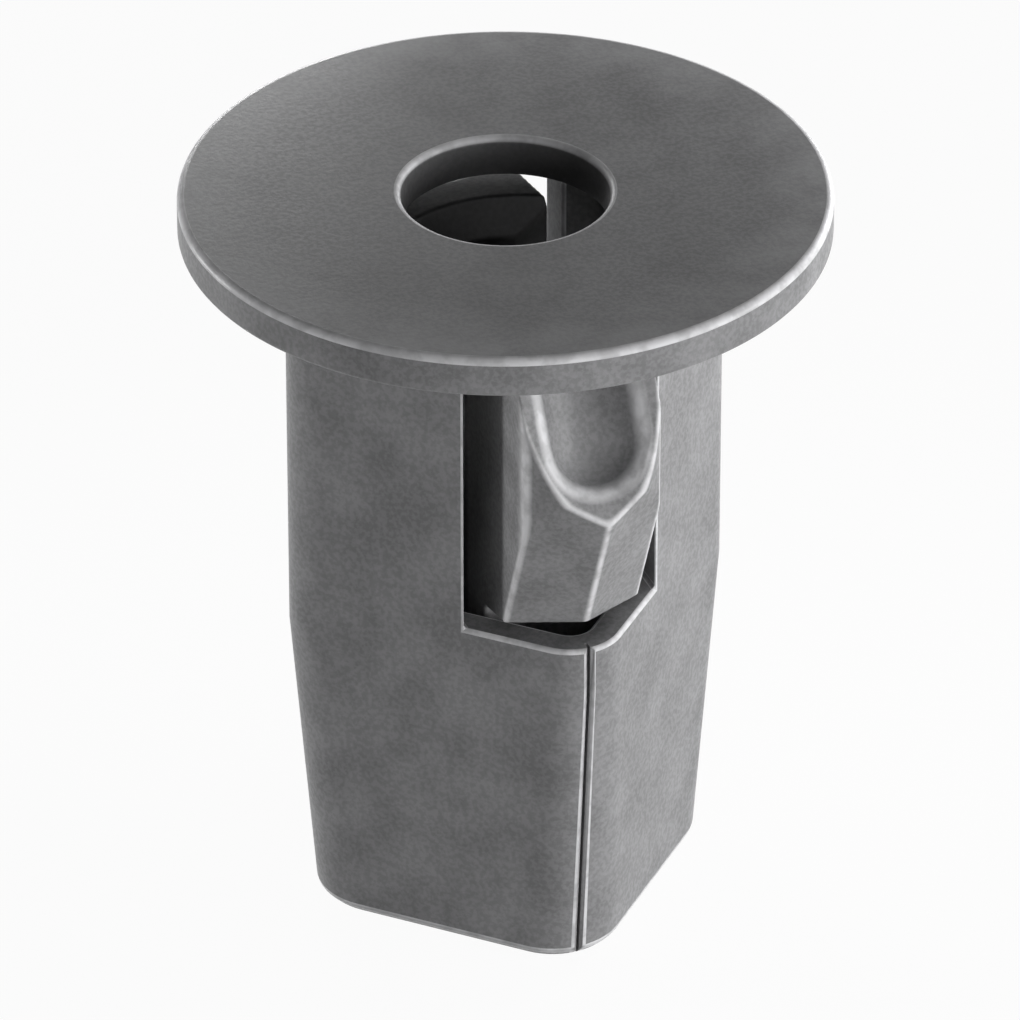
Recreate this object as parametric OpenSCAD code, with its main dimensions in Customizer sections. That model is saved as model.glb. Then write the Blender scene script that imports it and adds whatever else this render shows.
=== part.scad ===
// Screw grommet with a square shank, moulded in one piece.
// The origin is on the screw's axis at the head's underside, which seats on the panel.
// +Z points out of the screw hole. The windows and claws are at the -Y and +Y corners.

/* [Head] */
// Diameter of the round head
head_d = 20; // [18:0.5:26]
// Thickness of the head
head_t = 1.3; // [1:0.1:2]
// Rounding of the head's upper rim
lip_r = 0.35; // [0.1:0.05:0.5]
// Rounding of the head's lower rim
under_r = 0.15; // [0.05:0.05:0.3]

/* [Screw hole] */
// Diameter of the screw hole through the head
hole_d = 6.4; // [5.4:0.1:7]
// Rounding of the screw hole's mouth
mouth_r = 0.2; // [0.1:0.05:0.4]
// Diameter of the pilot groove in the claws, about the screw's root
pilot_d = 4.7; // [4.4:0.1:5]
// Depth of the funnel that leads the screw into the pilot groove
funnel_l = 1.2; // [0.6:0.1:2]

/* [Shank] */
// Width of the shank across its flats
shank_w = 11; // [10.5:0.1:12]
// Width of the shank across its flats at the tip
tip_w = 10.1; // [9.5:0.1:10.4]
// Length of the shank below the head
shank_l = 23.1; // [20:0.1:28]
// Depth below the head at which the shank starts to taper
straight_l = 12.8; // [11.5:0.1:15]
// Corner radius of the straight part
corner_r = 1.7; // [1.6:0.1:2.4]
// Corner radius at the tip
tip_corner_r = 2.2; // [2:0.1:3]
// Chamfer round the tip
tip_chamfer = 0.35; // [0.1:0.05:0.6]
// Wall thickness of the shank
wall = 1; // [0.8:0.05:1.2]

/* [Windows] */
// Width of each window across its corner
window_w = 6.3; // [5.4:0.1:6.8]
// Depth of the window's upper edge below the head
window_top = 0.7; // [0.5:0.1:1.5]
// Depth of the window's lower edge below the head
window_bottom = 11.1; // [10.6:0.1:11.4]
// Width of the score line down the corner below each window
score_w = 0.36; // [0.2:0.02:0.6]
// Depth of the score line
score_depth = 0.38; // [0.18:0.05:0.58]

/* [Claws] */
// Width of each claw, and the diameter of its round nose
claw_w = 4.1; // [3.4:0.1:4.4]
// Gap between the two claws' inner faces
claw_gap = 4.1; // [4.1:0.05:4.3]
// Distance of each claw's crest from the screw's axis
claw_reach = 8.65; // [7.6:0.05:9]
// Depth of the crest below the head
crest_depth = 5.75; // [5:0.05:6.5]
// Depth of the claw's free end below the head
claw_top = 0.8; // [0.6:0.1:1.4]
// Fall of the claw's top face from its inner end to the shoulder, in degrees
top_fall = 8.5; // [4:0.5:14]
// Angle of the ramp below the crest from the vertical
ramp_angle = 22.3; // [18:0.1:24]
// Angle at which each side of the ramp falls back from the ridge
ridge_angle = 26; // [20:1:40]
// Rounding of the ridge
ridge_r = 0.2; // [0.1:0.05:0.4]
// Rounding between the ramp's sides and the claw's
side_r = 0.8; // [0.4:0.05:1.1]
// Depth of the ramp's lower end below the head
heel_depth = 10.3; // [9.5:0.1:10.4]

/* [Claw shoulder] */
// Angle of the shoulder above the crest from the vertical
shoulder_angle = 29; // [24:1:36]
// Radius of the shallow hollow across the shoulder
shoulder_r = 10; // [5:0.5:16]
// Radius of the scoop in the shoulder
scoop_r = 1.62; // [1.3:0.02:1.7]
// Angle of the scoop's axis from the vertical
scoop_angle = 34; // [30:1:44]
// Distance of the scoop's lower end above the crest, along the shoulder
scoop_start = 1.05; // [0.7:0.05:1.6]
// Height of the scoop's round end above the face of the shoulder
scoop_rise = 0.7; // [0.4:0.05:1]

/* [Arms] */
// Thickness of the arm that carries each claw
arm_t = 1.85; // [1.5:0.05:2]
// Depth below the head at which the arms join the shank's walls
root_depth = 15.5; // [14:0.1:18]
// Distance of the arms' lower ends from the tip
root_inset = 0.6; // [0.2:0.1:1.5]

/* [Hidden] */
$fn = 96;
corner_fn = 32;
scoop_fn = 48;
cut = 0.5;
scored_corner = shank_w / sqrt(2) - corner_r * (sqrt(2) - 1);
scored_tip = tip_w / sqrt(2) - tip_corner_r * (sqrt(2) - 1);
claw_in = claw_gap / 2;
arm_out = claw_in + arm_t;
heel_clear = 0.2;
heel_fall = window_bottom - heel_clear - heel_depth;
scoop_base = sqrt(scoop_r * scoop_r - scoop_rise * scoop_rise);

// Distance of the ramp's ridge from the axis at a height
function ridge_at(z) = claw_reach + (z + crest_depth) * tan(ramp_angle);

// Points on an arc in the plane, from one angle to another
function arc(centre, r, from, to, steps = 6) =
    [for (i = [0 : steps]) centre + r * [cos(from + (to - from) * i / steps),
                                         sin(from + (to - from) * i / steps)]];

// Round posts at the four corners of a square, to be joined by a hull
module corner_posts(width, radius, low, high) {
    for (sx = [-1, 1], sy = [-1, 1])
        translate([sx * (width / 2 - radius), sy * (width / 2 - radius), low])
            cylinder(r = radius, h = high - low, $fn = corner_fn);
}

// Posts at the tip's four corners, narrowed at the end by the chamfer
module tip_posts() {
    axis = tip_w / 2 - tip_corner_r;
    for (sx = [-1, 1], sy = [-1, 1])
        translate([sx * axis, sy * axis, -shank_l])
            cylinder(r1 = tip_corner_r - tip_chamfer, r2 = tip_corner_r, h = tip_chamfer, $fn = corner_fn);
}

module head_profile() {
    square([head_d / 2 - lip_r, head_t]);
    square([head_d / 2 - under_r, head_t / 2]);
    translate([0, under_r])
        square([head_d / 2, head_t - lip_r - under_r]);
    translate([head_d / 2 - lip_r, head_t - lip_r])
        circle(r = lip_r);
    translate([head_d / 2 - under_r, under_r])
        circle(r = under_r);
}

module head() {
    rotate_extrude()
        head_profile();
}

module screw_hole() {
    translate([0, 0, -cut])
        cylinder(d = hole_d, h = head_t + 2 * cut);
    rotate_extrude()
        difference() {
            translate([0, head_t - mouth_r])
                square([hole_d / 2 + mouth_r, mouth_r + cut]);
            translate([hole_d / 2 + mouth_r, head_t - mouth_r])
                circle(r = mouth_r);
        }
}

module shank_outside() {
    hull() {
        corner_posts(shank_w, corner_r, -straight_l, head_t / 2);
        tip_posts();
    }
}

module shank_inside() {
    hull() {
        corner_posts(shank_w - 2 * wall, corner_r - wall, -straight_l, 0);
        corner_posts(tip_w - 2 * wall, tip_corner_r - wall, -shank_l - cut, -shank_l);
    }
}

// Both windows, cut straight through the corners along Y
module windows() {
    translate([-window_w / 2, -shank_w, -window_bottom])
        cube([window_w, 2 * shank_w, window_bottom - window_top]);
}

// Score line down the -Y corner, following the taper
module score_line() {
    rotate([90, 0, -90])
        linear_extrude(height = score_w, center = true)
            polygon([
                [scored_corner - score_depth, -window_bottom + cut],
                [scored_corner - score_depth, -straight_l],
                [scored_tip - score_depth, -shank_l],
                [scored_tip - score_depth, -shank_l - cut],
                [shank_w, -shank_l - cut],
                [shank_w, -window_bottom + cut]
            ]);
}

module shank() {
    difference() {
        rotate([0, 0, 45])
            shank_outside();
        rotate([0, 0, 45])
            shank_inside();
        windows();
        for (turn = [0, 180])
            rotate([0, 0, turn])
                score_line();
    }
}

// Side view of a claw and the arm below it: distance from the axis against height
module claw_side() {
    top_out = claw_reach;
    polygon([
        [claw_in, -claw_top],
        [top_out, -claw_top - (top_out - claw_in) * tan(top_fall)],
        [top_out + cut, -crest_depth],
        [ridge_at(-heel_depth) + cut, -heel_depth],
        [ridge_at(-heel_depth), -heel_depth],
        [arm_out, -heel_depth - heel_fall],
        [arm_out, -root_depth - cut],
        [claw_in, -root_depth - cut]
    ]);
}

// Plan of the wedge, ridge at the origin, square to the ridge
module wedge_plan() {
    half = claw_w / 2;
    back = half * tan(ridge_angle);
    deep = claw_reach + cut;
    flank = 90 - ridge_angle;
    ridge_in = ridge_r / cos(ridge_angle);
    side_in = side_r * tan(flank / 2);
    points = concat(
        arc([-ridge_in, 0], ridge_r, -ridge_angle, ridge_angle),
        arc([-back - side_in, half - side_r], side_r, ridge_angle, 90),
        [[-deep, half], [-deep, -half]],
        arc([-back - side_in, side_r - half], side_r, -90, -ridge_angle)
    );
    polygon(points);
}

// Plan of the claw from above: parallel sides and a full round nose
module nose_plan() {
    centre = claw_reach - claw_w / 2;
    translate([centre, 0])
        circle(d = claw_w);
    translate([0, -claw_w / 2])
        square([centre, claw_w]);
}

// The claw's outer body: its side view cut to the round nose and to the wedge along the ramp
module claw_block() {
    intersection() {
        rotate([90, 0, 0])
            linear_extrude(height = claw_w + 2 * cut, center = true)
                claw_side();
        translate([0, 0, -shank_l])
            linear_extrude(height = shank_l)
                nose_plan();
        translate([claw_reach, 0, -crest_depth])
            rotate([0, ramp_angle, 0])
                translate([0, 0, -shank_l])
                    linear_extrude(height = 2 * shank_l)
                        wedge_plan();
    }
}

// Shallow hollow that leans inwards above the crest
module shoulder_cut() {
    translate([claw_reach, 0, -crest_depth])
        rotate([0, -shoulder_angle, 0])
            translate([shoulder_r, 0, -claw_reach])
                cylinder(r = shoulder_r, h = 3 * claw_reach);
}

// Round-ended scoop down the middle of the shoulder
module scoop_cut() {
    translate([claw_reach, 0, -crest_depth])
        rotate([0, -shoulder_angle, 0])
            translate([scoop_rise, 0, scoop_start + scoop_base])
                rotate([0, shoulder_angle - scoop_angle, 0]) {
                    sphere(r = scoop_r, $fn = scoop_fn);
                    cylinder(r = scoop_r, h = 2 * claw_reach);
                }
}

// One claw on its arm, pointing along +X
module claw() {
    difference() {
        claw_block();
        shoulder_cut();
        scoop_cut();
    }
}

// The arm's root: a web across the corner that joins the arm to both walls
module root() {
    intersection() {
        translate([claw_in, -shank_w / 2, -shank_l + root_inset])
            cube([arm_t, shank_w, shank_l - root_depth - root_inset]);
        rotate([0, 0, 45])
            shank_outside();
    }
}

// Pilot groove and funnel, along the screw's axis
module pilot_cut() {
    translate([0, 0, -shank_l - cut])
        cylinder(d = pilot_d, h = shank_l);
    translate([0, 0, -claw_top - funnel_l])
        cylinder(d1 = pilot_d, d2 = hole_d, h = funnel_l);
}

module claws() {
    difference() {
        for (turn = [-90, 90])
            rotate([0, 0, turn]) {
                claw();
                root();
            }
        pilot_cut();
    }
}

module grommet() {
    color("dimgray")
        difference() {
            union() {
                head();
                shank();
                claws();
            }
            screw_hole();
        }
}

grommet();
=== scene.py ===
"""A screw grommet, moulded in one piece of satin grey nylon.

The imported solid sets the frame. The grommet is modelled again over it in millimetres,
with the rounded edges of a moulding, gets its nylon finish, and stands on a pale
floor in soft studio light, seen as in the drawing.
"""

import logging
import math
from collections.abc import Iterable, Sequence
from dataclasses import dataclass, field
from enum import Enum

import bmesh
import bpy
from bmesh.types import BMEdge, BMesh, BMFace, BMVert
from mathutils import Matrix, Vector


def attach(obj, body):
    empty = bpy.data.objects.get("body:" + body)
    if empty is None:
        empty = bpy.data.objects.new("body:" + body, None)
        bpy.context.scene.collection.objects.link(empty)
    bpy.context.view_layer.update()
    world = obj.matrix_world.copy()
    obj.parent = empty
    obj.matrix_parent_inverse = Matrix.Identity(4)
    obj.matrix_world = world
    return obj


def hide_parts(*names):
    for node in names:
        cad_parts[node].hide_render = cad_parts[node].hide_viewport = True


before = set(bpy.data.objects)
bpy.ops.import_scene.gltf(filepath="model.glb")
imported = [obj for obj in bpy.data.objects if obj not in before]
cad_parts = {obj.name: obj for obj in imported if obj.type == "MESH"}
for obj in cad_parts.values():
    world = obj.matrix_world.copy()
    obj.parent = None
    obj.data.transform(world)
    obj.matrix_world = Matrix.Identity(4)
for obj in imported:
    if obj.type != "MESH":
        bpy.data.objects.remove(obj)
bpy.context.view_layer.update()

MILLIMETRE = 0.001
UP = Vector((0, 0, 1))
WHITE = (1, 1, 1, 1)

# Millimetres: corners that are merged, corners that lie in a plane, a cut's own
# tolerance, and how far a cutter stands past what it cuts.
WELD = 0.0005
NEAR = 0.001
CUT = 1e-5
SPARE = 0.5

# Share of the way to its neighbours that a smoothing pass moves a corner.
SMOOTHING = 0.5

logging.basicConfig(level=logging.INFO, format="%(message)s")
log = logging.getLogger("grommet")


# ---------------------------------------------------------------- modelling bench


class Joining(Enum):
    """How two solids are put together."""

    UNION = "UNION"
    DIFFERENCE = "DIFFERENCE"
    INTERSECT = "INTERSECT"


class Bench:
    """Temporary objects that carry a solid through Blender's modifiers."""

    @staticmethod
    def lay(solid: BMesh, name: str) -> bpy.types.Object:
        """Turns a bmesh into an object on the bench.

        Args:
            solid: The shape, in millimetres. It is freed.
            name: The object's name.

        Returns:
            The object, linked to the scene.
        """
        mesh = bpy.data.meshes.new(name)
        solid.to_mesh(mesh)
        solid.free()
        body = bpy.data.objects.new(name, mesh)
        bpy.context.scene.collection.objects.link(body)
        return body

    @staticmethod
    def lift(body: bpy.types.Object) -> BMesh:
        """Takes an object off the bench with its modifiers applied.

        Args:
            body: The object. It is removed.

        Returns:
            Its shape as a bmesh.
        """
        depsgraph = bpy.context.evaluated_depsgraph_get()
        solid = bmesh.new()
        solid.from_object(body, depsgraph)
        mesh = body.data
        bpy.data.objects.remove(body)
        bpy.data.meshes.remove(mesh)
        return solid

    @classmethod
    def join(cls, solid: BMesh, joining: Joining, *tools: BMesh) -> BMesh:
        """Unites a solid with others, or cuts it with them.

        Args:
            solid: The solid to work on.
            joining: What is done with each tool.
            tools: The other solids, in order.

        Returns:
            The new solid.
        """
        body = cls.lay(solid, "body")
        laid = [cls.lay(tool, "tool") for tool in tools]
        for tool in laid:
            boolean = body.modifiers.new("join", "BOOLEAN")
            boolean.operation = joining.value
            boolean.solver = "EXACT"
            boolean.object = tool
        result = cls.lift(body)
        for tool in laid:
            cls.lift(tool).free()
        bmesh.ops.remove_doubles(result, verts=result.verts, dist=WELD)
        return result

    @classmethod
    def soften(cls, solid: BMesh, voxel: float, passes: int) -> BMesh:
        """Melts a solid into an even skin whose edges are all rounded.

        Args:
            solid: The solid with sharp edges.
            voxel: Size of the skin's faces, in millimetres.
            passes: Smoothing passes, which set how round the edges become.

        Returns:
            The rounded solid.
        """
        body = cls.lay(solid, "skin")
        remesh = body.modifiers.new("even", "REMESH")
        remesh.mode = "VOXEL"
        remesh.voxel_size = voxel
        smooth = body.modifiers.new("round", "SMOOTH")
        smooth.factor = SMOOTHING
        smooth.iterations = passes
        return cls.lift(body)

    @classmethod
    def thin(cls, solid: BMesh, share: float, bent: float, rings: int) -> BMesh:
        """Thins a fine skin where it is flat and keeps it fine round its edges.

        Args:
            solid: The fine skin.
            share: Share of the faces that stay.
            bent: Turn between two faces, in degrees, from which they belong to an edge.
            rings: Rings of faces that are kept on each side of an edge.

        Returns:
            The thinned skin.
        """
        kept = {vertex for edge in sharp_edges(solid, bent) for vertex in edge.verts}
        for _ in range(rings):
            kept |= {edge.other_vert(vertex) for vertex in kept for edge in vertex.link_edges}
        weights = solid.verts.layers.deform.verify()
        for vertex in solid.verts:
            if vertex not in kept:
                vertex[weights][0] = 1.0
        body = cls.lay(solid, "skin")
        body.vertex_groups.new(name="flat")
        thin = body.modifiers.new("thin", "DECIMATE")
        thin.ratio, thin.vertex_group = share, "flat"
        result = cls.lift(body)
        result.verts.layers.deform.remove(result.verts.layers.deform.verify())
        return result


def put_in_order(solid: BMesh) -> None:
    """Makes a solid again with its corners and faces in the order of their places.

    Blender's operators leave them in no fixed order, and the next one would then round
    its results another way on each run.

    Args:
        solid: The solid to change, which has no layers and no edges without a face.
    """
    corners = sorted(solid.verts, key=lambda corner: tuple(corner.co))
    rank = {corner: number for number, corner in enumerate(corners)}
    places = [corner.co.copy() for corner in corners]
    rings = []
    for face in solid.faces:
        ring = [rank[corner] for corner in face.verts]
        first = ring.index(min(ring))
        rings.append(ring[first:] + ring[:first])
    solid.clear()
    made = [solid.verts.new(place) for place in places]
    for ring in sorted(rings):
        solid.faces.new([made[number] for number in ring])
    solid.normal_update()


def bevel_edges(solid: BMesh, edges: Iterable[BMEdge], offset: float, steps: int) -> None:
    """Rounds some edges of a solid.

    Args:
        solid: The solid to change.
        edges: The edges to round.
        offset: Width taken off each neighbouring face, in millimetres.
        steps: Faces across the rounding.
    """
    bmesh.ops.bevel(
        solid, geom=list(edges), offset=offset, offset_type="OFFSET", segments=steps,
        profile=0.5, affect="EDGES", material=-1, clamp_overlap=True, loop_slide=True,
    )


def sharp_edges(solid: BMesh, least: float = 30.0) -> list[BMEdge]:
    """Finds the edges that turn by more than an angle, in degrees."""
    limit = math.radians(least)
    return [e for e in solid.edges if e.is_manifold and e.calc_face_angle() > limit]


def slice_off(solid: BMesh, point: Vector, normal: Vector) -> None:
    """Cuts away what lies beyond a plane and closes the cut.

    Args:
        solid: The solid to change.
        point: A point in the plane.
        normal: The side that goes.
    """
    put_in_order(solid)
    geometry = solid.verts[:] + solid.edges[:] + solid.faces[:]
    bmesh.ops.bisect_plane(
        solid, geom=geometry, plane_co=point, plane_no=normal, dist=CUT, clear_outer=True
    )
    bmesh.ops.holes_fill(solid, edges=[e for e in solid.edges if e.is_boundary])
    bmesh.ops.recalc_face_normals(solid, faces=solid.faces)


def prism(points: Sequence[tuple[float, float]], width: float) -> BMesh:
    """Extrudes a side view across the Y axis.

    Args:
        points: Corners of the side view, as X and Z.
        width: Width along Y, centred on the axis.

    Returns:
        The closed prism.
    """
    solid = bmesh.new()
    face = solid.faces.new([solid.verts.new((x, -width / 2, z)) for x, z in points])
    grown = bmesh.ops.extrude_face_region(solid, geom=[face])
    moved = [g for g in grown["geom"] if isinstance(g, BMVert)]
    bmesh.ops.translate(solid, verts=moved, vec=(0, width, 0))
    bmesh.ops.recalc_face_normals(solid, faces=solid.faces)
    return solid


def cone(
    low: float, high: float, foot: float, head: float, place: Matrix, sides: int = 128
) -> BMesh:
    """Makes a cylinder or cone along Z.

    Args:
        low: Height of its lower end.
        high: Height of its upper end.
        foot: Radius at the lower end.
        head: Radius at the upper end.
        place: Where its own frame stands.
        sides: Number of sides.

    Returns:
        The closed cone.
    """
    solid = bmesh.new()
    bmesh.ops.create_cone(
        solid, cap_ends=True, cap_tris=False, segments=sides, radius1=foot, radius2=head,
        depth=high - low, matrix=place @ Matrix.Translation(UP * (low + high) / 2),
    )
    return solid


def block(low: Vector, high: Vector) -> BMesh:
    """Makes a plain box between two corners, used only as a cutter or a core."""
    solid = bmesh.new()
    place = Matrix.Translation((low + high) / 2) @ Matrix.Diagonal((*(high - low), 1))
    bmesh.ops.create_cube(solid, size=1, matrix=place)
    return solid


def turned(solid: BMesh, degrees: float) -> BMesh:
    """Copies a solid, turned about the screw's axis."""
    copy = solid.copy()
    bmesh.ops.rotate(copy, verts=copy.verts, matrix=Matrix.Rotation(math.radians(degrees), 3, "Z"))
    return copy


@dataclass(frozen=True)
class EdgeWearAndHighlight:
    """Marks the rounded outer edges, painted lighter partly as wear from handling and partly as
    painted highlight; lengths in millimetres.
    """

    layer: str = "worn_and_highlit"
    # Bends, as one over a radius, at which the wear and painted highlight start and are full.
    slight: float = 1.6
    full: float = 3.2
    # Width up to which a face belongs to a rounding, and the least area that counts.
    narrow: float = 0.18
    least_area: float = 1e-9

    def bends(self, solid: BMesh) -> list[float]:
        """Measures how sharply the surface turns outwards at each vertex.

        Args:
            solid: The closed solid, in millimetres.

        Returns:
            One over the radius of the rounding, by vertex index; 0 where it is flat.
        """
        solid.verts.index_update()
        area, turn = [0.0] * len(solid.verts), [0.0] * len(solid.verts)
        for face in solid.faces:
            if self.is_narrow(face):
                share = face.calc_area() / len(face.verts)
                for vertex in face.verts:
                    area[vertex.index] += share
        for edge in solid.edges:
            bend = edge.calc_face_angle_signed(0.0) * edge.calc_length() / 2
            for vertex in edge.verts:
                turn[vertex.index] += bend
        return [t / a if a > self.least_area else 0.0 for t, a in zip(turn, area)]

    def is_narrow(self, face: BMFace) -> bool:
        """Tells a strip or small face of a rounding from a broad flat face."""
        return face.calc_area() < self.narrow * max(e.calc_length() for e in face.edges)

    def mark(self, solid: BMesh, claw: "Claw") -> None:
        """Writes the wear and painted highlight, from 0 to 1, on every corner of every face.

        Args:
            solid: The whole moulding.
            claw: One of its claws, whose own edges say where they are worn and carry painted
                highlight.
        """
        bends = self.bends(solid)
        layer = solid.loops.layers.float.new(self.layer)
        for face in solid.faces:
            middle = face.calc_center_median()
            if claw.holds(Vector((abs(middle.y), middle.x, middle.z))):
                for corner in face.loops:
                    place = corner.vert.co
                    corner[layer] = claw.worn_and_highlit(Vector((abs(place.y), place.x, place.z)))
            elif self.is_narrow(face):
                for corner in face.loops:
                    share = (bends[corner.vert.index] - self.slight) / (self.full - self.slight)
                    corner[layer] = min(max(share, 0.0), 1.0)


# ------------------------------------------------------------------- the moulding


@dataclass
class Head:
    """The round flat head with its screw hole, in millimetres."""

    radius: float = 10.0
    thickness: float = 1.3
    hole_radius: float = 3.2
    lip: float = 0.23
    under: float = 0.15
    mouth: float = 0.2
    sides: int = 224
    rim_steps: int = 6

    def solid(self) -> BMesh:
        """Turns the head's section about the screw's axis.

        Returns:
            The head, with its rims rounded.
        """
        head = bmesh.new()
        section = [(self.hole_radius, 0), (self.radius, 0), (self.radius, self.thickness),
                   (self.hole_radius, self.thickness)]
        corners = [head.verts.new((r, 0, z)) for r, z in section]
        head.faces.new(corners)
        for corner, rounding in zip(corners[1:], (self.under, self.lip, self.mouth)):
            bmesh.ops.bevel(
                head, geom=[corner], offset=rounding, offset_type="OFFSET",
                segments=self.rim_steps, profile=0.5, affect="VERTICES", material=-1,
            )
        bmesh.ops.delete(head, geom=head.faces[:], context="FACES_ONLY")
        bmesh.ops.spin(
            head, geom=head.verts[:] + head.edges[:], cent=(0, 0, 0), axis=UP,
            angle=math.tau, steps=self.sides, use_merge=True,
        )
        bmesh.ops.recalc_face_normals(head, faces=head.faces)
        return head


@dataclass
class Shank:
    """The hollow square shank, its two windows and score lines, in millimetres."""

    width: float = 11.0
    corner: float = 1.7
    tip_width: float = 10.1
    tip_corner: float = 2.2
    tip_chamfer: float = 0.35
    length: float = 23.1
    straight: float = 12.8
    wall: float = 1.0
    sunk: float = 0.65
    corner_steps: int = 14
    window_half: float = 3.15
    window_top: float = 0.7
    window_bottom: float = 11.1
    window_edge: float = 0.13
    edge_steps: int = 4
    # The score line is a slit whose mouth is flared; the slope is the flare's run over
    # its depth, and the fill is the share of it that one sloping face takes.
    score_width: float = 0.10
    score_depth: float = 0.38
    score_flare: float = 0.12
    score_slope: float = 1.4
    score_fill: float = 0.98

    def outline(self, solid: BMesh, width: float, corner: float, height: float) -> list[BMEdge]:
        """Draws one rounded square, its corners on the X and Y axes.

        Args:
            solid: The bmesh to draw in.
            width: Width across the flats.
            corner: Corner radius.
            height: Height of the outline.

        Returns:
            The outline's edges.
        """
        before = set(solid.edges)
        ring = bmesh.ops.create_circle(
            solid, cap_ends=True, segments=4, radius=width / math.sqrt(2),
            matrix=Matrix.Translation(UP * height),
        )
        bmesh.ops.bevel(
            solid, geom=ring["verts"], offset=corner, offset_type="OFFSET",
            segments=self.corner_steps, profile=0.5, affect="VERTICES", material=-1,
        )
        edges = [e for e in solid.edges if e not in before]
        bmesh.ops.delete(
            solid, geom=list({f for e in edges for f in e.link_faces}), context="FACES_ONLY"
        )
        return edges

    def loft(self, levels: Sequence[tuple[float, float, float]], closed: bool) -> BMesh:
        """Bridges rounded squares into a tube or a plug.

        Args:
            levels: Width, corner radius and height of each outline, in order.
            closed: True joins the last outline to the first; False caps both ends.

        Returns:
            The closed solid.
        """
        solid = bmesh.new()
        rings = [self.outline(solid, *level) for level in levels]
        pairs = list(zip(rings, rings[1:])) + ([(rings[-1], rings[0])] if closed else [])
        for upper, lower in pairs:
            bmesh.ops.bridge_loops(solid, edges=upper + lower)
        if not closed:
            bmesh.ops.holes_fill(solid, edges=rings[0] + rings[-1])
        bmesh.ops.recalc_face_normals(solid, faces=solid.faces)
        return solid

    def plug(self, inset: float) -> BMesh:
        """Makes the solid that fills the shank up to a depth inside its outer face."""
        return self.loft([
            (self.width - 2 * inset, self.corner - inset, self.sunk),
            (self.width - 2 * inset, self.corner - inset, -self.straight),
            (self.tip_width - 2 * inset, self.tip_corner - inset, -self.length),
        ], closed=False)

    def tube(self) -> BMesh:
        """Makes the tapered tube, with the chamfer round its open tip."""
        chamfer, wall = self.tip_chamfer, self.wall
        return self.loft([
            (self.width, self.corner, self.sunk),
            (self.width, self.corner, -self.straight),
            (self.tip_width, self.tip_corner, -self.length + chamfer),
            (self.tip_width - 2 * chamfer, self.tip_corner - chamfer, -self.length),
            (self.tip_width - 2 * wall, self.tip_corner - wall, -self.length),
            (self.width - 2 * wall, self.corner - wall, -self.straight),
            (self.width - 2 * wall, self.corner - wall, self.sunk),
        ], closed=True)

    def score(self, width: float, depth: float) -> BMesh:
        """Makes a cutter that follows one corner's taper.

        Args:
            width: The cut's width.
            depth: The cut's depth below the corner.

        Returns:
            The cutter, along +X.
        """
        high, tip = (
            across / math.sqrt(2) - corner * (math.sqrt(2) - 1) - depth
            for across, corner in ((self.width, self.corner), (self.tip_width, self.tip_corner))
        )
        top, end = -self.window_bottom + 2 * SPARE, -self.length - 2 * SPARE
        return prism([
            (high, top), (high, -self.straight), (tip, -self.length), (tip, end),
            (self.width, end), (self.width, top),
        ], width)

    def score_tools(self) -> list[BMesh]:
        """Makes the cutters of one score line: a thin slit, and its mouth with sloping sides."""
        slope = self.score_slope * self.score_flare
        mouth = self.score(self.score_width + 2 * slope, self.score_flare)
        floor = []
        for edge in mouth.edges:
            low, high = (vertex.co for vertex in edge.verts)
            if abs(low.y - high.y) < NEAR and max(low.x, high.x) < self.width - NEAR:
                floor.append(edge)
        bevel_edges(mouth, floor, self.score_fill * slope, 1)
        return [self.score(self.score_width, self.score_depth), mouth]

    def solid(self) -> BMesh:
        """Cuts the windows and score lines and rounds their edges.

        Returns:
            The shank, whose top is sunk in the head.
        """
        half, reach = self.window_half, self.width
        low = Vector((-half, -reach, -self.window_bottom))
        high = Vector((half, reach, -self.window_top))
        shank = Bench.join(self.tube(), Joining.DIFFERENCE, block(low, high))
        shown = [e for e in sharp_edges(shank) if self.shows(e)]
        bevel_edges(shank, shown, self.window_edge, self.edge_steps)
        for tool in self.score_tools():
            shank = Bench.join(shank, Joining.DIFFERENCE, turned(tool, -90), turned(tool, 90))
            tool.free()
        return shank

    def shows(self, edge: BMEdge) -> bool:
        """Tells whether an edge lies below the head."""
        return all(vertex.co.z < -self.window_top / 2 for vertex in edge.verts)


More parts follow.
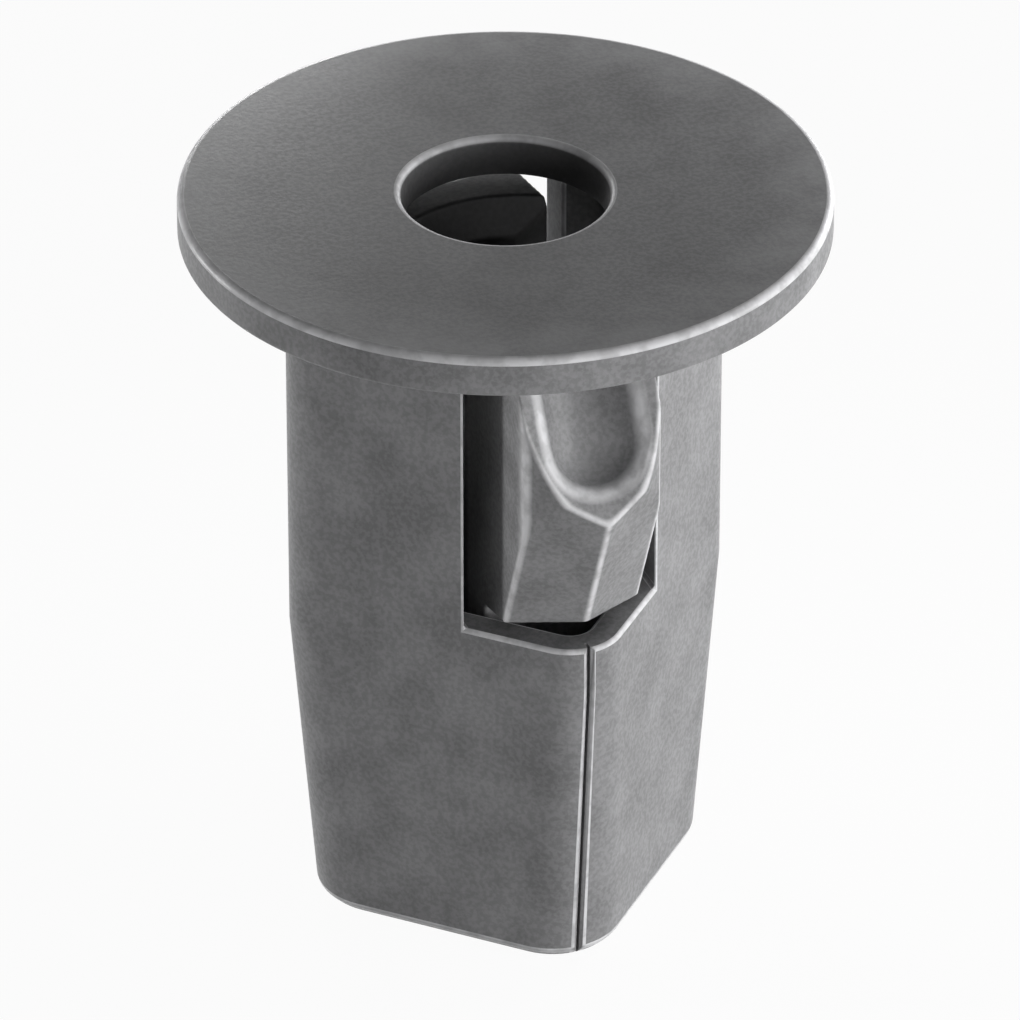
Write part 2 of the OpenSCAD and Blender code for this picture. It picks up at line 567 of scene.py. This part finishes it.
@dataclass
class Claw:
    """One sprung claw on its arm and web, pointing along +X, in millimetres.

    Heights are given as depths below the head. In degrees, the ramp, the shoulder and
    the scoop lean from the vertical, the top falls from the level, and the flanks fall
    back from the ridge.
    """

    # The wedge: its plan, its crest and top, and the ramp with its ridge and flanks.
    width: float = 4.42
    nose: float = 2.4
    nose_cuts: int = 48
    inner: float = 2.05
    reach: float = 8.65
    crest: float = 5.75
    top: float = 0.6
    top_fall: float = 8.5
    ramp: float = 22.3
    flank: float = 26.0
    ridge_round: float = 0.2
    ridge_steps: int = 4
    side_round: float = 0.3
    side_steps: int = 6
    heel: float = 10.3
    heel_fall: float = 0.6
    # The hollow shoulder above the crest, and the round-ended scoop in it.
    shoulder: float = 29.0
    shoulder_round: float = 10.0
    shoulder_sides: int = 160
    scoop: float = 1.62
    scoop_sides: int = 96
    scoop_lean: float = 29.0
    scoop_start: float = 1.05
    scoop_rise: float = 0.7
    # The arm, its root in the corner, and the screw's pilot groove with its funnel.
    arm: float = 1.85
    root: float = 15.5
    root_inset: float = 0.6
    pilot: float = 2.35
    funnel: float = 1.2
    mouth: float = 3.2
    # The skin: its faces' size, its smoothing, and how far it is thinned.
    voxel: float = 0.055
    passes: int = 16
    share: float = 0.30
    bent: float = 6.0
    rings: int = 3
    # The edges that are eased further: their half width and the passes.
    ease_reach: float = 0.22
    ease_passes: int = 100
    # Wear and painted highlight: full up to the core and gone at the reach, with thinner bands
    # along the crest and the ridge and a wider one along the scoop's rim.
    wear_and_highlight_core: float = 0.06
    wear_and_highlight_reach: float = 0.16
    crest_thinner: float = 1.2
    ridge_thinner: float = 1.3
    rim_wider: float = 2.0

    @property
    def peak(self) -> Vector:
        """The ridge's upper end, where the crest stands furthest out."""
        return Vector((self.reach, 0, -self.crest))

    def ridge_at(self, height: float) -> float:
        """Distance of the ridge from the axis at a height."""
        return self.reach + (height + self.crest) * math.tan(math.radians(self.ramp))

    def wedge(self) -> BMesh:
        """Makes the claw's body, with its ridge and its side edges rounded."""
        out, arm_out = self.reach + SPARE, self.inner + self.arm
        heel_out = self.ridge_at(-self.heel)
        fall = (out - self.inner) * math.tan(math.radians(self.top_fall))
        body = prism([
            (self.inner, -self.top), (out, -self.top - fall), (out, -self.crest),
            (heel_out + SPARE, -self.heel), (heel_out, -self.heel),
            (arm_out, -self.heel - self.heel_fall), (arm_out, -self.root - SPARE),
            (self.inner, -self.root - SPARE),
        ], self.width)
        flank, half = math.radians(self.flank), self.width / 2
        sides = [self.flank_normal(side) for side in (-1, 1)]
        for normal in sides:
            slice_off(body, self.peak, normal)
        flanks = [f for f in body.faces if any(f.normal.dot(n) > 1 - NEAR for n in sides)]
        edges = dict.fromkeys(e for f in flanks for e in f.edges)
        ridge = [e for e in edges if all(abs(v.co.y) < NEAR for v in e.verts)]
        beside = [e for e in edges if all(abs(v.co.y) > half - NEAR for v in e.verts)]
        bevel_edges(body, ridge, self.ridge_round * math.tan(flank), self.ridge_steps)
        beside = [e for e in beside if e.is_valid]
        offset = self.side_round * math.tan(math.radians(45) - flank / 2)
        bevel_edges(body, beside, offset, self.side_steps)
        return body

    def flank_normal(self, side: int) -> Vector:
        """Direction square to the flank on one side, 1 or -1."""
        ramp, flank = math.radians(self.ramp), math.radians(self.flank)
        outward = Vector((math.cos(ramp), 0, -math.sin(ramp))) * math.cos(flank)
        return outward + Vector((0, side * math.sin(flank), 0))

    def round_nose(self, body: BMesh) -> None:
        """Rounds the claw's plan to a nose, by upright cuts all round it."""
        centre = Vector((self.reach - self.nose, 0, 0))
        for step in range(self.nose_cuts):
            turn = math.radians(180 * (step + 0.5) / self.nose_cuts - 90)
            outward = Vector((math.cos(turn), math.sin(turn), 0))
            slice_off(body, centre + outward * self.nose, outward)

    def shoulder_tool(self) -> BMesh:
        """Makes the cutter of the shallow hollow that leans inwards above the crest."""
        lean = Matrix.Rotation(math.radians(-self.shoulder), 4, "Y")
        radius = self.shoulder_round
        place = Matrix.Translation(self.peak) @ lean @ Matrix.Translation((radius, 0, 0))
        return cone(-self.reach, 2 * self.reach, radius, radius, place, self.shoulder_sides)

    def scoop_place(self) -> Matrix:
        """Gives the frame of the scoop: its round end's centre, with its axis along Z."""
        base = math.sqrt(self.scoop**2 - self.scoop_rise**2)
        return (
            Matrix.Translation(self.peak)
            @ Matrix.Rotation(math.radians(-self.shoulder), 4, "Y")
            @ Matrix.Translation((self.scoop_rise, 0, self.scoop_start + base))
            @ Matrix.Rotation(math.radians(self.shoulder - self.scoop_lean), 4, "Y")
        )

    def scoop_tool(self) -> BMesh:
        """Makes the cutter of the round-ended scoop: half a ball, drawn out along its axis."""
        tool = bmesh.new()
        bmesh.ops.create_uvsphere(
            tool, u_segments=self.scoop_sides, v_segments=self.scoop_sides // 2, radius=self.scoop
        )
        bmesh.ops.bisect_plane(
            tool, geom=tool.verts[:] + tool.edges[:] + tool.faces[:], plane_co=(0, 0, 0),
            plane_no=UP, dist=CUT, clear_outer=True,
        )
        rim = bmesh.ops.extrude_edge_only(tool, edges=[e for e in tool.edges if e.is_boundary])
        moved = [g for g in rim["geom"] if isinstance(g, BMVert)]
        bmesh.ops.translate(tool, verts=moved, vec=UP * 2 * self.reach)
        bmesh.ops.holes_fill(tool, edges=[e for e in tool.edges if e.is_boundary])
        bmesh.ops.recalc_face_normals(tool, faces=tool.faces)
        bmesh.ops.transform(tool, matrix=self.scoop_place(), verts=tool.verts)
        put_in_order(tool)
        return tool

    def web(self, shank: Shank) -> BMesh:
        """Makes the web across the corner, its ends held in the middle of the walls."""
        low = Vector((self.inner, -shank.width / 2, -shank.length + self.root_inset))
        high = Vector((self.inner + self.arm, shank.width / 2, -self.root))
        return Bench.join(block(low, high), Joining.INTERSECT, shank.plug(shank.wall / 2))

    def solid(self, shank: Shank) -> BMesh:
        """Cuts the claw out of its wedge and softens it.

        Args:
            shank: The shank that carries the claw.

        Returns:
            The claw with its arm and web.
        """
        upright, tall = Matrix.Identity(4), 4 * SPARE
        wide = self.pilot + tall * (self.mouth - self.pilot) / self.funnel
        neck = -self.top - self.funnel
        claw = self.wedge()
        self.round_nose(claw)
        claw = Bench.join(claw, Joining.DIFFERENCE, self.shoulder_tool(), self.scoop_tool())
        claw = Bench.join(claw, Joining.UNION, self.web(shank))
        claw = Bench.join(
            claw, Joining.DIFFERENCE,
            cone(-shank.length - 2 * SPARE, 2 * SPARE, self.pilot, self.pilot, upright),
            cone(neck, neck + tall, self.pilot, wide, upright),
        )
        skin = Bench.soften(claw, self.voxel, self.passes)
        outer = [v for v in skin.verts if v.co.x > self.inner + self.arm]
        self.ease(skin, [v for v in outer if self.is_on_cheek(v.co)])
        self.ease(skin, [v for v in outer if self.is_on_rim(v.co)])
        return Bench.thin(skin, self.share, self.bent, self.rings)

    def beyond_nose(self, place: Vector) -> float:
        """Distance of a point outside the nose and the sides behind it, seen from above."""
        ahead = max(place.x - self.reach + self.nose, 0.0)
        return math.hypot(ahead, place.y) - self.nose

    def beyond_flank(self, place: Vector, side: int) -> float:
        """Distance of a point outside the flank on one side, 1 or -1."""
        return (place - self.peak).dot(self.flank_normal(side))

    def beyond_shoulder(self, place: Vector) -> float:
        """Distance of a point outside the shoulder's hollow face, towards the cutter's axis."""
        lean = math.radians(self.shoulder)
        axis = self.peak + Vector((math.cos(lean), 0, math.sin(lean))) * self.shoulder_round
        along = Vector((-math.sin(lean), 0, math.cos(lean)))
        across = place - axis
        return self.shoulder_round - (across - along * across.dot(along)).length

    def beyond_scoop(self, place: Vector) -> float:
        """Distance of a point inside the scoop's hollow."""
        own = self.scoop_place().inverted() @ place
        return self.scoop - (own.xy.length if own.z > 0 else own.length)

    def is_on_rim(self, place: Vector) -> bool:
        """Tells whether a point lies on the scoop's rim."""
        on_scoop = abs(self.beyond_scoop(place)) < self.ease_reach
        return on_scoop and self.beyond_nose(place) < -self.ease_reach

    def is_on_cheek(self, place: Vector) -> bool:
        """Tells whether a point lies on the curve where the nose meets a flank."""
        flank = max(self.beyond_flank(place, side) for side in (-1, 1))
        on_curve = max(abs(flank), abs(self.beyond_nose(place))) < self.ease_reach
        apart = min(-self.beyond_shoulder(place), self.width / 2 - abs(place.y))
        return on_curve and apart > self.ease_reach

    def holds(self, place: Vector) -> bool:
        """Tells whether a point of the moulding belongs to the claw or its arm."""
        outside = place.x > self.inner + self.arm + self.ease_reach
        low = -self.heel - self.heel_fall if outside else -self.root
        beside = abs(place.y) < self.width / 2 + self.ease_reach
        return beside and place.x > self.inner and low < place.z < -self.top

    def worn_and_highlit(self, place: Vector) -> float:
        """Gives the wear and painted highlight at a point of the claw's surface.

        Args:
            place: The point, in the claw's own frame.

        Returns:
            1 on the middle of a worn, highlit edge, 0 away from them all.
        """
        nose = self.beyond_nose(place)
        left, right = (self.beyond_flank(place, side) for side in (-1, 1))
        shoulder, side = self.beyond_shoulder(place), abs(place.y) - self.width / 2
        outside = max(nose, left, right)
        crest = max(abs(shoulder), abs(outside)) * self.crest_thinner
        ridge = max(abs(left), abs(right)) * self.ridge_thinner
        corner = max(abs(side), abs(outside))
        rim = max(abs(self.beyond_scoop(place)), abs(shoulder)) / self.rim_wider
        nearest = min(crest, ridge, corner, rim)
        share = (self.wear_and_highlight_reach - nearest) / (self.wear_and_highlight_reach - self.wear_and_highlight_core)
        return min(max(share, 0.0), 1.0)

    def ease(self, skin: BMesh, near: Sequence[BMVert]) -> None:
        """Rounds one edge more softly than the claw's other edges."""
        for _ in range(self.ease_passes):
            bmesh.ops.smooth_vert(
                skin, verts=near, factor=SMOOTHING,
                use_axis_x=True, use_axis_y=True, use_axis_z=True,
            )


# ------------------------------------------------------------------ shader maths


@dataclass(frozen=True)
class Signal:
    """A shader socket that takes part in Python expressions."""

    graph: "Graph"
    socket: bpy.types.NodeSocket

    def _maths(self, operation: str, *values: "Signal | float") -> "Signal":
        """Adds a Math node.

        Args:
            operation: The node's operation.
            values: What it works on, in order.

        Returns:
            The node's result.
        """
        return self.graph.node("ShaderNodeMath", {"operation": operation}, dict(enumerate(values)))

    def __add__(self, other: "Signal | float") -> "Signal":
        """Adds two values."""
        return self._maths("ADD", self, other)

    __radd__ = __add__

    def __sub__(self, other: "Signal | float") -> "Signal":
        """Subtracts a value from this one."""
        return self._maths("SUBTRACT", self, other)

    def __rsub__(self, other: "Signal | float") -> "Signal":
        """Subtracts this value from another."""
        return self._maths("SUBTRACT", other, self)

    def __mul__(self, other: "Signal | float") -> "Signal":
        """Multiplies two values."""
        return self._maths("MULTIPLY", self, other)

    __rmul__ = __mul__

    def between(self, low: float, high: float) -> "Signal":
        """Rises smoothly from 0 at low to 1 at high."""
        return self.graph.node(
            "ShaderNodeMapRange", {"interpolation_type": "SMOOTHSTEP"},
            {"Value": self, "From Min": low, "From Max": high},
        )


@dataclass(frozen=True)
class Graph:
    """The node tree of one material or world."""

    tree: bpy.types.NodeTree

    def node(
        self, kind: str, settings: dict[str, object] | None = None,
        inputs: dict[str | int, object] | None = None, output: str | int = 0,
    ) -> Signal:
        """Adds a node.

        Args:
            kind: The node's type.
            settings: Its properties, set first.
            inputs: Values or links of its sockets, by name or number.
            output: The socket that is wanted.

        Returns:
            The wanted socket.
        """
        made = self.tree.nodes.new(kind)
        for name, value in (settings or {}).items():
            setattr(made, name, value)
        for name, value in (inputs or {}).items():
            socket = made.inputs[name]
            if isinstance(value, Signal):
                self.tree.links.new(value.socket, socket)
            else:
                socket.default_value = value
        return Signal(self, made.outputs[output])

    def finish(self, kind: str, surface: Signal) -> None:
        """Adds the tree's output node and gives it the surface."""
        self.tree.links.new(surface.socket, self.tree.nodes.new(kind).inputs["Surface"])

    def background_seen(self) -> Signal:
        """1 for the rays that show the background: straight, mirrored or through glass."""
        path = self.node("ShaderNodeLightPath", output="Is Camera Ray").socket.node
        camera, glossy, through = (
            Signal(self, path.outputs[f"Is {ray} Ray"])
            for ray in ("Camera", "Glossy", "Transmission")
        )
        return camera + glossy + through

    def mix(self, factor: Signal | float, low: object, high: object) -> Signal:
        """Mixes two colours.

        Args:
            factor: 0 gives the first colour, 1 the second.
            low: The first colour.
            high: The second colour.

        Returns:
            The mixed colour.
        """
        return self.node(
            "ShaderNodeMix", {"data_type": "RGBA"}, {0: factor, 6: low, 7: high}, output=2
        )

    def noise(self, place: Signal, size: float, detail: float = 2.0) -> Signal:
        """Adds noise whose patches are about a given size, in millimetres."""
        return self.node("ShaderNodeTexNoise", None, {
            "Vector": place, "Scale": 1 / (size * MILLIMETRE), "Detail": detail,
            "Roughness": 0.55,
        })


# ---------------------------------------------------------------------- finishes


@dataclass(frozen=True)
class SatinNylon:
    """Moulded nylon, through-coloured grey, with a fine spark-eroded grain."""

    name: str = "satin_nylon"
    # Greys: the body's two, the painted shade on the hole's wall, the painted light on the head's
    # rim, and the worn edges with their painted highlight.
    shade: float = 0.16
    light_shade: float = 0.275
    painted_hole_shade: float = 0.05
    painted_rim_light_shade: float = 0.42
    worn_and_highlight_shade: float = 0.66
    roughness: float = 0.42
    specular: float = 0.19
    ior: float = 1.53
    # Sizes of the patterns and depth of the relief, in millimetres.
    grain: float = 0.16
    patch: float = 2.0
    wear_and_highlight_patch: float = 0.7
    swell: float = 0.9
    relief: float = 0.02
    # Shares: the patches' part in the tone, where the painted rim light starts on the head, its
    # least and its swing, the hole's painted shade, and the least wear and painted highlight of a
    # worn edge.
    patch_share: float = 0.6
    rim_start: float = 0.68
    rim_least: float = 0.3
    rim_swing: float = 0.4
    painted_hole_shade_share: float = 0.8
    least_wear_and_highlight: float = 0.6

    @staticmethod
    def grey(shade: float) -> tuple[float, float, float, float]:
        """A very slightly cool grey."""
        return (shade, shade, shade * 1.02, 1.0)

    def material(self, head: Head, wear_and_highlight: EdgeWearAndHighlight) -> bpy.types.Material:
        """Builds the finish.

        Args:
            head: The head, whose top is painted lighter towards its rim and whose hole is painted
                in shade.
            wear_and_highlight: Where the edges' wear and painted highlight are kept.

        Returns:
            The material.
        """
        material = bpy.data.materials.new(self.name)
        material.use_nodes = True
        material.node_tree.nodes.clear()
        graph = Graph(material.node_tree)
        place = graph.node("ShaderNodeTexCoord", output="Object")
        patches = graph.noise(place, self.patch, 4.0).between(0.3, 0.7)
        grain = graph.noise(place, self.grain, 3.0)
        speckle = grain.between(0.38, 0.62)
        flat, length = {"operation": "MULTIPLY"}, {"operation": "LENGTH"}
        axis = graph.node("ShaderNodeVectorMath", flat, {0: place, 1: (1, 1, 0)})
        across = graph.node("ShaderNodeVectorMath", length, {0: axis}, output="Value")
        height = graph.node("ShaderNodeSeparateXYZ", None, {0: place}, output="Z")
        radius, thickness = head.radius * MILLIMETRE, head.thickness * MILLIMETRE
        hole, mouth = head.hole_radius * MILLIMETRE, head.mouth * MILLIMETRE
        tone = patches * self.patch_share + speckle * (1 - self.patch_share)
        colour = graph.mix(tone, self.grey(self.shade), self.grey(self.light_shade))
        # Painted light: the head's top is painted lighter towards its rim, as if more light fell
        # there, in patches.
        rim = across.between(self.rim_start * radius, radius)
        rim = rim * height.between(0.8 * thickness, thickness)
        rim = rim * (self.rim_least + self.rim_swing * patches)
        colour = graph.mix(rim, colour, self.grey(self.painted_rim_light_shade))
        # Painted shade: inside the screw hole, below the head's top, the colour is darkened as if
        # shade fell there.
        below_top = 1 - height.between(0.8 * thickness, 0.95 * thickness)
        hole_shade_mask = (1 - across.between(hole, hole + mouth)) * below_top
        colour = graph.mix(hole_shade_mask * self.painted_hole_shade_share, colour, self.grey(self.painted_hole_shade))
        # Partly wear, partly painted highlight: rounded edges are painted lighter, as handling
        # rubs them and as light catches them.
        worn_and_highlit = graph.node("ShaderNodeAttribute", {"attribute_name": wear_and_highlight.layer}, output="Fac")
        # The head's lower rim, which lies in shade, gets neither wear nor painted highlight.
        lower_rim = across.between(0.9 * radius, 0.95 * radius)
        lower_rim = lower_rim * (1 - height.between(0.2 * thickness, 0.5 * thickness))
        uneven = graph.noise(place, self.wear_and_highlight_patch, 3.0).between(0.35, 0.6)
        uneven = self.least_wear_and_highlight + (1 - self.least_wear_and_highlight) * uneven
        rubbed_and_highlit = worn_and_highlit * ((1 - lower_rim) * (1 - hole_shade_mask)) * uneven
        colour = graph.mix(rubbed_and_highlit, colour, self.grey(self.worn_and_highlight_shade))
        swell = graph.noise(place, self.swell, 1.0)
        bump = graph.node("ShaderNodeBump", None, {
            "Strength": 0.5, "Distance": self.relief * MILLIMETRE,
            "Height": grain * 0.7 + swell * 0.6,
        })
        roughness = self.roughness - 0.05 + 0.1 * patches + 0.06 * (1 - speckle) - 0.08 * rubbed_and_highlit
        shader = graph.node("ShaderNodeBsdfPrincipled", None, {
            "Base Color": colour, "Roughness": roughness, "Specular IOR Level": self.specular,
            "IOR": self.ior, "Normal": bump,
        })
        graph.finish("ShaderNodeOutputMaterial", shader)
        return material


@dataclass(frozen=True)
class PaleFloor:
    """A matt white sheet that looks white to the camera and keeps the shadow."""

    name: str = "pale_floor"
    shade: float = 0.8
    seen: float = 1.0
    veil: float = 0.95

    def material(self) -> bpy.types.Material:
        """Builds the sheet's material, lighter in what the camera sees of it."""
        material = bpy.data.materials.new(self.name)
        material.use_nodes = True
        material.node_tree.nodes.clear()
        graph = Graph(material.node_tree)
        matt = graph.node("ShaderNodeBsdfDiffuse", None, {"Color": (self.shade,) * 3 + (1,)})
        bright = graph.node("ShaderNodeEmission", None, {"Color": WHITE, "Strength": self.seen})
        seen = graph.background_seen() * self.veil
        shader = graph.node("ShaderNodeMixShader", None, {0: seen, 1: matt, 2: bright})
        graph.finish("ShaderNodeOutputMaterial", shader)
        return material


# ------------------------------------------------------------------- the grommet


@dataclass
class Grommet:
    """The whole moulding: head, shank and two claws in one piece.

    Edges that turn by more than the crease's angle, in degrees, are shaded sharp.
    """

    head: Head = field(default_factory=Head)
    shank: Shank = field(default_factory=Shank)
    claw: Claw = field(default_factory=Claw)
    wear_and_highlight: EdgeWearAndHighlight = EdgeWearAndHighlight()
    finish: SatinNylon = SatinNylon()
    crease: float = 40.0

    def body(self) -> BMesh:
        """Unites the parts of the moulding.

        Returns:
            One closed solid.
        """
        head = self.head.solid()
        log.info("head: %d faces", len(head.faces))
        shank = self.shank.solid()
        log.info("shank: %d faces", len(shank.faces))
        claw = self.claw.solid(self.shank)
        log.info("claw: %d faces", len(claw.faces))
        whole = Bench.join(head, Joining.UNION, shank, turned(claw, -90), turned(claw, 90))
        claw.free()
        return whole

    def build(self) -> bpy.types.Object:
        """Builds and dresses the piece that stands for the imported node.

        Returns:
            The grommet's object, at the origin and in metres.
        """
        solid = self.body()
        self.wear_and_highlight.mark(solid, self.claw)
        bmesh.ops.scale(solid, vec=(MILLIMETRE,) * 3, verts=solid.verts)
        for face in solid.faces:
            face.smooth = True
        for edge in sharp_edges(solid, self.crease):
            edge.smooth = False
        piece = Bench.lay(solid, "nylon_moulding")
        even = piece.modifiers.new("even_normals", "WEIGHTED_NORMAL")
        even.mode = "FACE_AREA_WITH_ANGLE"
        even.keep_sharp = True
        piece.data.materials.append(self.finish.material(self.head, self.wear_and_highlight))
        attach(piece, "root")
        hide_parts("grommet")
        return piece


# ------------------------------------------------------------------------ studio


@dataclass(frozen=True)
class Softbox:
    """A square lamp that looks at the grommet; angles in degrees, lengths in metres."""

    name: str
    azimuth: float
    elevation: float
    distance: float
    size: float
    power: float

    def hang(self, target: Vector) -> bpy.types.Object:
        """Hangs the lamp.

        Args:
            target: The point that it looks at.

        Returns:
            The lamp's object.
        """
        lamp = bpy.data.lights.new(self.name, "AREA")
        lamp.shape, lamp.size, lamp.energy = "SQUARE", self.size, self.power
        back = bearing(self.azimuth, self.elevation)
        body = bpy.data.objects.new(self.name, lamp)
        body.location = target + back * self.distance
        body.rotation_euler = (-back).to_track_quat("-Z", "Y").to_euler()
        body.visible_camera = False
        bpy.context.scene.collection.objects.link(body)
        return body


def bearing(azimuth: float, elevation: float) -> Vector:
    """Direction from the grommet towards a viewer or lamp; 0 azimuth is -Y, 90 is +X."""
    a, e = math.radians(azimuth), math.radians(elevation)
    return Vector((math.sin(a) * math.cos(e), -math.cos(a) * math.cos(e), math.sin(e)))


@dataclass
class Studio:
    """The floor, lamps, surroundings and camera; lengths in metres, angles in degrees."""

    floor_height: float = -0.02311
    floor_half: float = 0.5
    ambient: float = 0.05
    azimuth: float = -21.4
    elevation: float = 32.1
    distance: float = 0.3
    aim: Vector = field(default_factory=lambda: Vector((0, 0, -0.0102)))
    aside: float = 0.000137
    lens: float = 341.1
    lamps: Sequence[Softbox] = (
        Softbox("key", 58, 3, 0.18, 0.09, 0.30),
        Softbox("front", 6, 3, 0.18, 0.09, 0.19),
        Softbox("fill", -130, 0, 0.18, 0.03, 0.20),
        Softbox("edge", 122, 5, 0.18, 0.09, 0.12),
    )
    rim_aim: Vector = field(default_factory=lambda: Vector((0, 0, 0.0013)))
    rim_lamps: Sequence[Softbox] = (
        Softbox("rim_right", 100, 8, 0.030, 0.012, 0.0040),
        Softbox("rim_back", 180, 10, 0.030, 0.012, 0.0032),
    )

    def lay_floor(self) -> bpy.types.Object:
        """Lays the floor under the shank's tip."""
        sheet = bmesh.new()
        bmesh.ops.create_grid(
            sheet, x_segments=1, y_segments=1, size=self.floor_half,
            matrix=Matrix.Translation(UP * self.floor_height),
        )
        floor = Bench.lay(sheet, "floor")
        floor.data.materials.append(PaleFloor().material())
        return floor

    def surround(self) -> bpy.types.World:
        """Surrounds the scene with soft light that the camera sees as white."""
        world = bpy.data.worlds.new("surroundings")
        bpy.context.scene.world = world
        world.use_nodes = True
        world.node_tree.nodes.clear()
        graph = Graph(world.node_tree)
        soft = graph.node(
            "ShaderNodeBackground", None, {"Color": WHITE, "Strength": self.ambient}
        )
        white = graph.node("ShaderNodeBackground", None, {"Color": WHITE, "Strength": 1.0})
        shader = graph.node(
            "ShaderNodeMixShader", None, {0: graph.background_seen(), 1: soft, 2: white}
        )
        graph.finish("ShaderNodeOutputWorld", shader)
        return world

    def place_camera(self) -> bpy.types.Object:
        """Places the camera at the drawing's viewing angle."""
        view = bpy.data.cameras.new("camera")
        view.sensor_width, view.lens = 36.0, self.lens
        view.clip_start, view.clip_end = 0.01, 10.0
        back = bearing(self.azimuth, self.elevation)
        right = UP.cross(back).normalized()
        camera = bpy.data.objects.new("camera", view)
        camera.location = self.aim + back * self.distance + right * self.aside
        camera.rotation_euler = (-back).to_track_quat("-Z", "Y").to_euler()
        bpy.context.scene.collection.objects.link(camera)
        bpy.context.scene.camera = camera
        return camera

    def build(self) -> None:
        """Sets up the whole studio."""
        self.lay_floor()
        self.surround()
        for lamp in self.lamps:
            lamp.hang(self.aim)
        for lamp in self.rim_lamps:
            lamp.hang(self.rim_aim)
        self.place_camera()
        bpy.context.scene.view_settings.view_transform = "Standard"


def main() -> None:
    """Builds the grommet and its studio, and reports each piece."""
    piece = Grommet().build()
    log.info("%s: %d faces", piece.name, len(piece.data.polygons))
    Studio().build()
    log.info("studio ready")


if __name__ == "__main__":
    main()
